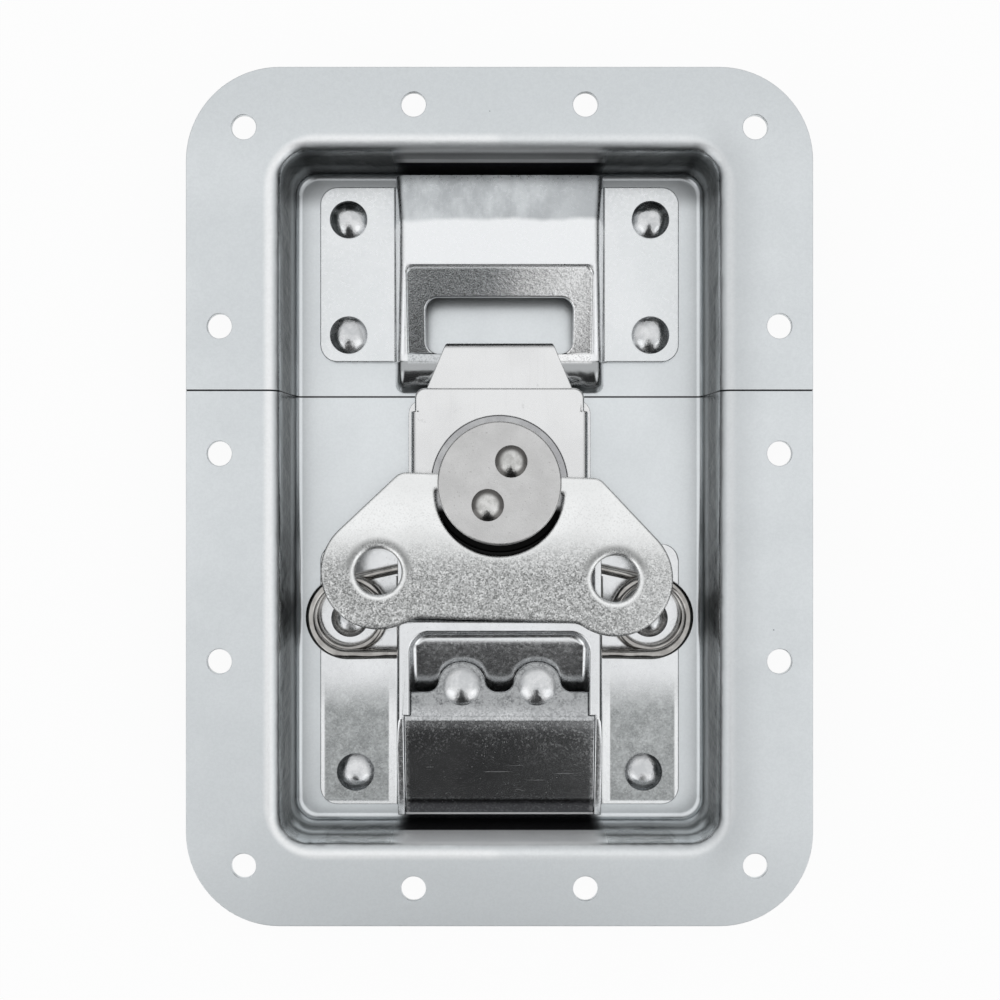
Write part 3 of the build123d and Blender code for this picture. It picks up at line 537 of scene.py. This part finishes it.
def keeperPaint(kit):
    look = keeperLook
    colour = between(kit, patches(kit, look["cloud"]), look["dark"], look["pale"])
    arch = band(kit, kit["x"], -look["arch"], look["arch"], look["archSoft"])
    drift = times(kit, maths(kit, "SUBTRACT", noise(kit, look["drift"], 3.0), 0.5), look["driftBy"])
    slope = step(kit, maths(kit, "ADD", kit["y"], drift), *look["slopeFrom"])
    colour = between(kit, arch, colour, between(kit, slope, look["archTone"], rearPanelShade(kit)))
    # painted shade on the lip
    lipEnds = (look["lipTo"] - look["lipSoft"], look["lipTo"] + look["lipSoft"])
    lip = times(kit, arch, fade(kit, kit["y"], *lipEnds))
    colour = between(kit, lip, colour, look["lipTone"])
    coin = times(kit, band(kit, kit["y"], *look["coin"], look["coinSoft"]),
                band(kit, kit["x"], -look["coinHalf"], look["coinHalf"], look["coinSideSoft"]))
    facet = crystals(kit, look["crystal"])
    colour = between(kit, coin, colour, coinReflectionTone(kit, facet))
    scratch = times(kit, scratches(kit, *look["scratch"]), arch)
    colour = between(kit, times(kit, scratch, look["scratchShare"]), colour, look["scratchTone"])
    grain = noise(kit, look["grain"], 2.0, 0.7)
    rough = grained(kit, grain, look["roughness"])
    rough = between(kit, coin, rough, look["coinRoughness"])
    rough = between(kit, lip, rough, look["lipRoughness"])
    normal = raised(kit, times(kit, noise(kit, look["lipBlob"], 2.0, 0.5), lip), look["lipDepth"])
    sparkle = maths(kit, "ADD", times(kit, facet, look["sparkleFacet"]), noise(kit, look["sparkle"], 3.0, 0.65))
    normal = raised(kit, times(kit, sparkle, coin), look["sparkleDepth"], normal)
    return colour, rough, raised(kit, grain, look["grainDepth"], normal)


# latch base

baseLook = {
    "pale": (0.86, 0.87, 0.88), "dark": (0.80, 0.81, 0.82), "cloud": 6.0,
    "wing": (21.8, 22.4),                # x where the wings start beside the raised box
    "wingFrom": (-36.0, -47.0),          # y where they turn darker and mottled
    "wingTone": (0.60, 0.62, 0.62), "wingDark": (0.38, 0.395, 0.395),
    "wingCloud": 1.5, "wingEdges": (0.34, 0.66), "wingRoughness": (0.24, 0.36),
    "crystal": 0.34, "crystalTone": (0.16, 0.165, 0.165), "crystalShare": 0.45,
    # painted highlights along the bend and the rim of each wing
    "bend": (22.0, 23.7), "bendSoft": 0.15, "rimX": (37.2, 37.7), "rimY": (-64.7, -65.2),
    "wingHighlightTone": (0.93, 0.94, 0.945),
    "mottle": 0.9, "mottleDepth": 0.05,
    "roughness": (0.18, 0.28), "grain": 0.4, "grainDepth": 0.01,
}


def latchBasePaint(kit):
    look = baseLook
    across = fromMiddle(kit, "x")
    colour = between(kit, patches(kit, look["cloud"]), look["dark"], look["pale"])
    dull = times(kit, step(kit, across, *look["wing"]), step(kit, kit["y"], *look["wingFrom"]))
    patch = patches(kit, look["wingCloud"], 5.0, 0.65, look["wingEdges"])
    wingColour = between(kit, patch, look["wingDark"], look["wingTone"])
    spark = times(kit, crystals(kit, look["crystal"]), look["crystalShare"])
    wingColour = between(kit, spark, wingColour, look["crystalTone"])
    colour = between(kit, dull, colour, wingColour)
    # painted highlights along the bend and the rims of the wings
    highlighted = either(kit, band(kit, across, *look["bend"], look["bendSoft"]), step(kit, across, *look["rimX"]))
    highlighted = times(kit, either(kit, highlighted, step(kit, kit["y"], *look["rimY"])), dull)
    colour = between(kit, highlighted, colour, look["wingHighlightTone"])
    dull = maths(kit, "SUBTRACT", dull, highlighted)
    grain = noise(kit, look["grain"], 3.0, 0.7)
    rough = grained(kit, grain, look["roughness"])
    rough = between(kit, dull, rough, step(kit, patch, 0.0, 1.0, *look["wingRoughness"]))
    normal = raised(kit, times(kit, noise(kit, look["mottle"], 4.0, 0.65), dull), look["mottleDepth"])
    return colour, rough, raised(kit, grain, look["grainDepth"], normal)


# ramp cover

rampLook = {
    "pale": (0.74, 0.75, 0.76), "dark": (0.60, 0.61, 0.62), "cloud": 5.0,
    "ledge": (-46.9, -46.3),             # the mirror ramp lies below these y, the ledge above
    "shelf": (-45.6, -43.2), "shelfTone": (0.46, 0.47, 0.475), "shelfDark": (0.17, 0.175, 0.18),
    "patch": 0.9, "crystal": 0.32, "crestShare": 0.5,
    "roughness": (0.20, 0.28), "rampRoughness": 0.13,
    "haze": (-46.6, -50.0), "hazeRoughness": 0.22,
    # marks on the ramp: hair scratches as (turn, length, width, amount), dust as (spacing, size)
    "hairs": ((-38.0, 7.0, 0.09, 0.24), (52.0, 5.0, 0.08, 0.22)), "hairShare": 0.35,
    "dusts": ((0.7, 0.09), (1.6, 0.13)), "dustCloud": 4.0, "dustEdges": (0.4, 0.65), "dustShare": (0.15, 0.55),
    # painted highlights: glinting facets along the rails and below the crest
    "railFrom": (18.6, 19.2), "railShare": 0.22,
    "sparkEdges": (0.6, 1.0), "sparkFrom": (-47.0, -58.0), "sparkShare": (0.16, 0.05),
    "markAndHighlightTone": (0.9, 0.9, 0.9), "markRoughness": 0.75,
    # painted shade at the foot of the ramp, and a painted highlight along its end edge
    "endShade": (-63.3, -63.9), "endTone": (0.07, 0.07, 0.074),
    "endLine": (-66.5, -66.7), "endLineShare": 0.7,
    "grain": 0.45, "grainDepth": 0.045, "facetShare": 0.3, "rampGrainDepth": 0.005,
}


def rampMarksAndHighlights(kit, facet):
    # hair scratches and dust, with painted highlights on the rails and below the crest
    look = rampLook
    hair = either(kit, *(scratches(kit, *one) for one in look["hairs"]))
    dust = either(kit, *(specks(kit, *one) for one in look["dusts"]))
    marksAndHighlights = times(kit, dust, step(kit, noise(kit, look["dustCloud"], 3.0), *look["dustEdges"], *look["dustShare"]))
    rail = times(kit, step(kit, fromMiddle(kit, "x"), *look["railFrom"]), facet)
    marksAndHighlights = either(kit, marksAndHighlights, times(kit, rail, look["railShare"]))
    spark = times(kit, step(kit, facet, *look["sparkEdges"]),
                 step(kit, kit["y"], *look["sparkFrom"], *look["sparkShare"]))
    return either(kit, times(kit, hair, look["hairShare"]), either(kit, marksAndHighlights, spark))


def rampPaint(kit):
    look = rampLook
    ledge = step(kit, kit["y"], *look["ledge"])
    shelf = step(kit, kit["y"], *look["shelf"])
    grain = noise(kit, look["grain"], 3.0, 0.65)
    facet = crystals(kit, look["crystal"])
    colour = between(kit, patches(kit, look["cloud"]), look["dark"], look["pale"])
    worn = times(kit, facet, patches(kit, look["patch"], 4.0, 0.7))
    colour = between(kit, shelf, colour, between(kit, worn, look["shelfTone"], look["shelfDark"]))
    crest = times(kit, times(kit, ledge, without(kit, shelf)), times(kit, facet, look["crestShare"]))
    colour = between(kit, crest, colour, look["shelfDark"])
    # painted shade at the foot of the ramp
    colour = between(kit, step(kit, kit["y"], *look["endShade"]), colour, look["endTone"])
    marksAndHighlights = times(kit, rampMarksAndHighlights(kit, facet), without(kit, ledge))
    # painted highlight along the end edge
    marksAndHighlights = either(kit, marksAndHighlights, times(kit, step(kit, kit["y"], *look["endLine"]), look["endLineShare"]))
    colour = between(kit, marksAndHighlights, colour, look["markAndHighlightTone"])
    smooth = between(kit, fade(kit, kit["y"], *look["haze"]), look["rampRoughness"], look["hazeRoughness"])
    rough = between(kit, ledge, smooth, grained(kit, grain, look["roughness"]))
    rough = between(kit, marksAndHighlights, rough, look["markRoughness"])
    rugged = times(kit, maths(kit, "ADD", grain, times(kit, facet, look["facetShare"])), ledge)
    normal = raised(kit, rugged, look["grainDepth"])
    return colour, rough, raised(kit, grain, look["rampGrainDepth"], normal)


# swing plate, housing, claw and cam

mechanismLook = {
    "pale": (0.86, 0.86, 0.86), "dark": (0.80, 0.80, 0.80), "cloud": 8.0,
    "streak": 0.3, "streakStretch": (1, 0.04, 1), "streakEdges": (0.55, 0.75),
    "streakShare": 0.16, "streakTone": (0.66, 0.66, 0.66),
    "smudge": 2.2, "smudgeEdges": (0.66, 0.8), "smudgeShare": 0.6, "smudgeTone": (0.3, 0.3, 0.3),
    # painted shadow under the cam: distances from its axis, and how far below it
    "underCam": (13.6, 15.6), "underSoft": 0.15, "underDrop": (5.0, 7.0),
    "roughness": (0.23, 0.29), "grain": 0.4, "grainDepth": 0.0012,
    "wave": 3.0, "waveDepth": 0.02,
}


def mechanismPaint(kit):
    look = mechanismLook
    colour = between(kit, patches(kit, look["cloud"]), look["dark"], look["pale"])
    drawn = step(kit, noise(kit, look["streak"], 2.0, 0.6, look["streakStretch"]), *look["streakEdges"])
    colour = between(kit, times(kit, drawn, look["streakShare"]), colour, look["streakTone"])
    smudge = patches(kit, look["smudge"], 4.0, 0.6, look["smudgeEdges"])
    colour = between(kit, times(kit, smudge, look["smudgeShare"]), colour, look["smudgeTone"])
    axis = middleOf("cover_disc")
    # painted shadow round the lower side of the cam
    shadowUnderCam = times(kit, band(kit, reach(kit, [axis]), *look["underCam"], look["underSoft"]),
                 step(kit, maths(kit, "SUBTRACT", axis[1], kit["y"]), *look["underDrop"]))
    colour = between(kit, shadowUnderCam, colour, camLook["hollow"])
    grain = noise(kit, look["grain"], 2.0, 0.7)
    normal = raised(kit, noise(kit, look["wave"], 2.0), look["waveDepth"])
    return colour, grained(kit, grain, look["roughness"]), raised(kit, grain, look["grainDepth"], normal)


camLook = {
    "face": (0.53, 0.535, 0.54), "worn": (0.44, 0.44, 0.45), "cloud": 1.5,
    "hollow": (0.012, 0.012, 0.012), "hollowRoughness": 0.6,
    "shade": (4.0, 6.0),                 # mm under the axis where the painted shadow starts
    "roughness": (0.20, 0.32), "grain": 0.3, "grainDepth": 0.01,
}


def camPaint(kit):
    look = camLook
    axisY = middleOf("cover_disc")[1]
    colour = between(kit, patches(kit, look["cloud"]), look["worn"], look["face"])
    # painted shadow on the lower part of the cam
    hollow = step(kit, maths(kit, "SUBTRACT", axisY, kit["y"]), *look["shade"])
    colour = between(kit, hollow, colour, look["hollow"])
    grain = noise(kit, look["grain"], 2.0, 0.7)
    rough = between(kit, hollow, grained(kit, grain, look["roughness"]), look["hollowRoughness"])
    return colour, rough, raised(kit, grain, look["grainDepth"])


# handle

handleLook = {
    "pale": (0.96, 0.965, 0.96), "dark": (0.89, 0.895, 0.89), "cloud": 7.0,
    "gradient": (-5.0, -17.0),           # y from clean to worn
    "bright": (20.0, 34.0), "brightShare": 0.8,                  # x where the right wing is cleaner
    "lowTone": (0.88, 0.885, 0.88), "lowDark": (0.19, 0.193, 0.19),
    "crystal": 0.26, "blotch": 0.8, "blotchShare": 0.3,
    # the holes with their bright rims and a painted shade halo above each one
    "holes": ((-25.0, -15.5), (23.9, -17.0)), "holeRim": (5.4, 6.2),
    "haloIn": (5.2, 5.9), "haloOut": (6.1, 7.6), "haloFrom": (-17.5, -13.0), "haloShare": (0.45, 0.95),
    "opening": (0.0, 2.7), "openingRim": (14.4, 16.4),
    "rolled": 1.0, "rolledTone": (0.97, 0.975, 0.97),            # mm of rounding along the outline
    "pitEdges": (0.6, 1.0), "pitFrom": (6.0, -8.0), "pitShare": (0.03, 0.16), "pitTone": (0.22, 0.223, 0.22),
    "roughness": (0.18, 0.27), "lowRoughness": (0.20, 0.34),
    "grain": 0.28, "grainDepth": 0.010, "lowGrainDepth": 0.06,
}


def wornArea(kit, holes, rolled):
    # the lower part of the handle, apart from its rims
    look = handleLook
    worn = times(kit, step(kit, kit["y"], *look["gradient"]), step(kit, holes, *look["holeRim"]))
    worn = times(kit, worn, step(kit, reach(kit, [look["opening"]]), *look["openingRim"]))
    worn = times(kit, worn, step(kit, kit["x"], *look["bright"], 1.0, look["brightShare"]))
    return times(kit, worn, without(kit, rolled))


def handlePaint(kit):
    look = handleLook
    grain = noise(kit, look["grain"], 3.0, 0.7)
    facet = crystals(kit, look["crystal"])
    holes = reach(kit, look["holes"])
    rolled, rounded = nearEdge(kit, look["rolled"])
    worn = wornArea(kit, holes, rolled)
    # painted shade in a halo above each hole
    halo = times(kit, step(kit, holes, *look["haloIn"]), fade(kit, holes, *look["haloOut"]))
    halo = times(kit, halo, step(kit, kit["y"], *look["haloFrom"]))
    colour = between(kit, patches(kit, look["cloud"]), look["dark"], look["pale"])
    sand = between(kit, facet, look["lowDark"], look["lowTone"])
    blotch = times(kit, patches(kit, look["blotch"], 4.0, 0.7), look["blotchShare"])
    colour = between(kit, worn, colour, between(kit, blotch, sand, look["lowDark"]))
    pits = times(kit, step(kit, facet, *look["pitEdges"]),
                 step(kit, kit["y"], *look["pitFrom"], *look["pitShare"]))
    colour = between(kit, times(kit, pits, without(kit, worn)), colour, look["pitTone"])
    colour = between(kit, times(kit, halo, between(kit, facet, *look["haloShare"])), colour, look["pitTone"])
    colour = between(kit, rolled, colour, look["rolledTone"])
    rough = grained(kit, grain, look["roughness"])
    rough = between(kit, worn, rough, grained(kit, grain, look["lowRoughness"]))
    normal = raised(kit, times(kit, grain, either(kit, worn, halo)), look["lowGrainDepth"], rounded)
    return colour, rough, raised(kit, grain, look["grainDepth"], normal)


# cover disc, rivets and spring

coverLook = {"pale": (0.66, 0.655, 0.65), "dark": (0.59, 0.585, 0.58), "cloud": 2.5,
             "pit": 0.2, "pitEdges": (0.68, 0.76), "pitShare": 0.5, "pitTone": (0.34, 0.33, 0.32),
             "roughness": (0.27, 0.36), "grain": 0.25, "grainDepth": 0.05}
# rivet heads, with painted shade in a ring towards the edge of each dome
rivetLook = {"pale": (0.80, 0.805, 0.81), "dark": (0.60, 0.61, 0.62), "cloud": 1.4, "cloudEdges": (0.34, 0.66),
             "rim": (3.0, 3.95), "rimTone": (0.55, 0.56, 0.57),
             "roughness": (0.18, 0.28), "dent": 1.0, "dentDepth": 0.10}
# the cover rivets get a darker painted shade ring
coverRivetLook = {**rivetLook, "pale": (0.74, 0.735, 0.72), "dark": (0.50, 0.495, 0.48), "cloud": 0.9,
                  "rim": (1.7, 2.7), "rimTone": (0.14, 0.135, 0.13)}
springLook = {"pale": (0.50, 0.485, 0.465), "dark": (0.36, 0.345, 0.33), "cloud": 1.2,
              "cloudEdges": (0.34, 0.66), "roughness": (0.09, 0.16), "grain": 0.3, "grainDepth": 0.006}


def coverPaint(kit):
    look = coverLook
    grain = noise(kit, look["grain"], 3.0, 0.75)
    colour = between(kit, patches(kit, look["cloud"], edges=grainEdges), look["dark"], look["pale"])
    pits = patches(kit, look["pit"], 1.0, edges=look["pitEdges"])
    colour = between(kit, times(kit, pits, look["pitShare"]), colour, look["pitTone"])
    return colour, grained(kit, grain, look["roughness"]), raised(kit, grain, look["grainDepth"])


def rivetPaint(look, nodeNames):
    centres = [middleOf(name) for name in nodeNames]

    def paint(kit):
        cloud = patches(kit, look["cloud"], 4.0, 0.6, look["cloudEdges"])
        colour = between(kit, cloud, look["dark"], look["pale"])
        # painted shade towards the edge of each dome
        colour = between(kit, step(kit, reach(kit, centres), *look["rim"]), colour, look["rimTone"])
        dent = noise(kit, look["dent"], 3.0, 0.6)
        return colour, step(kit, cloud, 0.0, 1.0, *look["roughness"]), raised(kit, dent, look["dentDepth"])
    return paint


def springPaint(kit):
    look = springLook
    cloud = patches(kit, look["cloud"], 3.0, edges=look["cloudEdges"])
    colour = between(kit, cloud, look["dark"], look["pale"])
    grain = noise(kit, look["grain"], 2.0, 0.6)
    return colour, grained(kit, grain, look["roughness"]), raised(kit, grain, look["grainDepth"])


plateRivets = [name for name in frame["nodes"] if "rivet" in name and "cover" not in name]
coverRivets = [name for name in frame["nodes"] if "cover_rivet" in name]
finishes = {
    "dishZinc": (dishPaint, ["lid_dish", "base_dish"]),
    "keeperZinc": (keeperPaint, ["keeper"]),
    "latchBaseZinc": (latchBasePaint, ["latch_base"]),
    "rampZinc": (rampPaint, ["ramp_cover"]),
    "mechanismZinc": (mechanismPaint, ["swing_plate", "claw_housing", "claw", "crank_pin"]),
    "camZinc": (camPaint, ["cam"]),
    "handleZinc": (handlePaint, ["handle"]),
    "coverSteel": (coverPaint, ["cover_disc"]),
    "springSteel": (springPaint, ["spring_wire"]),
    "rivetZinc": (rivetPaint(rivetLook, plateRivets), plateRivets),
    "coverRivetZinc": (rivetPaint(coverRivetLook, coverRivets), coverRivets),
}
for finish, (paint, nodeNames) in finishes.items():
    metal = finishMetal(finish, paint)
    for nodeName in nodeNames:
        slots = frame["nodes"][nodeName].data.materials
        slots.clear()
        slots.append(metal)
print("finishes ready")


# small rounded edges on the pressed and cut pieces, widths in mm

edgeRounding = {
    "lid_dish": 0.18, "base_dish": 0.18, "keeper": 0.22, "latch_base": 0.22, "ramp_cover": 0.2,
    "claw_housing": 0.2, "claw": 0.2, "swing_plate": 0.15, "cam": 0.15, "cover_disc": 0.12, "handle": 0.15,
}
# merge and sliver in mm, sharp in degrees, reach in widths
edgeLook = {"merge": 0.001, "sharp": 36.0, "reach": 1.8, "segments": 2, "sliver": 0.0001, "weight": 100}
# the two halves of the dish close up on each other: how far from the joint, and by how much, in mm
dishJoint = {"reach": 0.45, "shift": 0.19}
# the press leaves the keeper's rear panel nearly level: how far its far edge rises and draws in, in mm
rearPanel = {"halfWidth": 22.8, "from": 57.6, "to": 68.0, "above": 4.4, "rise": 2.4, "draw": 0.7}
bodyOf = {node: body for body, nodes in frame["record"]["behaviour"]["bodies"].items() for node in nodes}


def edgePoints(edges, spacing):
    # points along edges, to look up which one is nearest
    points = []
    for edge in edges:
        start, end = (vert.co.copy() for vert in edge.verts)
        count = max(1, math.ceil((end - start).length / spacing))
        points += [start.lerp(end, i / count) for i in range(count + 1)]
    tree = KDTree(len(points))
    for i, point in enumerate(points):
        tree.insert(point, i)
    tree.balance()
    return tree


def closeJoint(work):
    for vert in work.verts:
        away = vert.co.y / mm - dishLook["seam"]
        if abs(away) < dishJoint["reach"]:
            vert.co.y -= math.copysign(dishJoint["shift"], away) * mm


def levelRearPanel(work):
    look = rearPanel
    for vert in work.verts:
        x, y, z = vert.co / mm
        if abs(x) < look["halfWidth"] and y > look["from"] and z > look["above"]:
            share = (y - look["from"]) / (look["to"] - look["from"])
            vert.co += Vector((0, -look["draw"], look["rise"])) * share * mm


def roundedCopy(nodeName, width):
    # the same shape with its sharp edges broken by a small radius
    source = frame["nodes"][nodeName]
    work = bmesh.new()
    work.from_mesh(source.data)
    bmesh.ops.remove_doubles(work, verts=work.verts, dist=edgeLook["merge"] * mm)
    sharp = [e for e in work.edges if e.calc_face_angle(0) > math.radians(edgeLook["sharp"])]
    tree = edgePoints(sharp, width * mm / 2)
    made = bmesh.ops.bevel(work, geom=sharp, offset=width * mm, segments=edgeLook["segments"], profile=0.5,
                           affect="EDGES", material=-1, clamp_overlap=False)
    for vert in made["verts"]:
        point, _, away = tree.find(vert.co)
        if away > edgeLook["reach"] * width * mm:     # a corner that shot past its edge comes back
            vert.co = point
    bmesh.ops.dissolve_degenerate(work, edges=work.edges, dist=edgeLook["sliver"] * mm)
    if nodeName == "keeper":
        levelRearPanel(work)
    if nodeName in ("lid_dish", "base_dish"):
        closeJoint(work)
    for face in work.faces:
        face.smooth = True
    mesh = bpy.data.meshes.new(nodeName + "Finished")
    work.to_mesh(mesh)
    work.free()
    mesh.materials.append(source.data.materials[0])
    piece = bpy.data.objects.new(nodeName + "Finished", mesh)
    scene.collection.objects.link(piece)
    weighted = piece.modifiers.new("evenShade", "WEIGHTED_NORMAL")
    weighted.weight = edgeLook["weight"]
    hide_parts(nodeName)
    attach(piece, bodyOf[nodeName])
    return piece


for nodeName, width in edgeRounding.items():
    piece = roundedCopy(nodeName, width)
    print(piece.name, len(piece.data.polygons))
print("edges rounded")
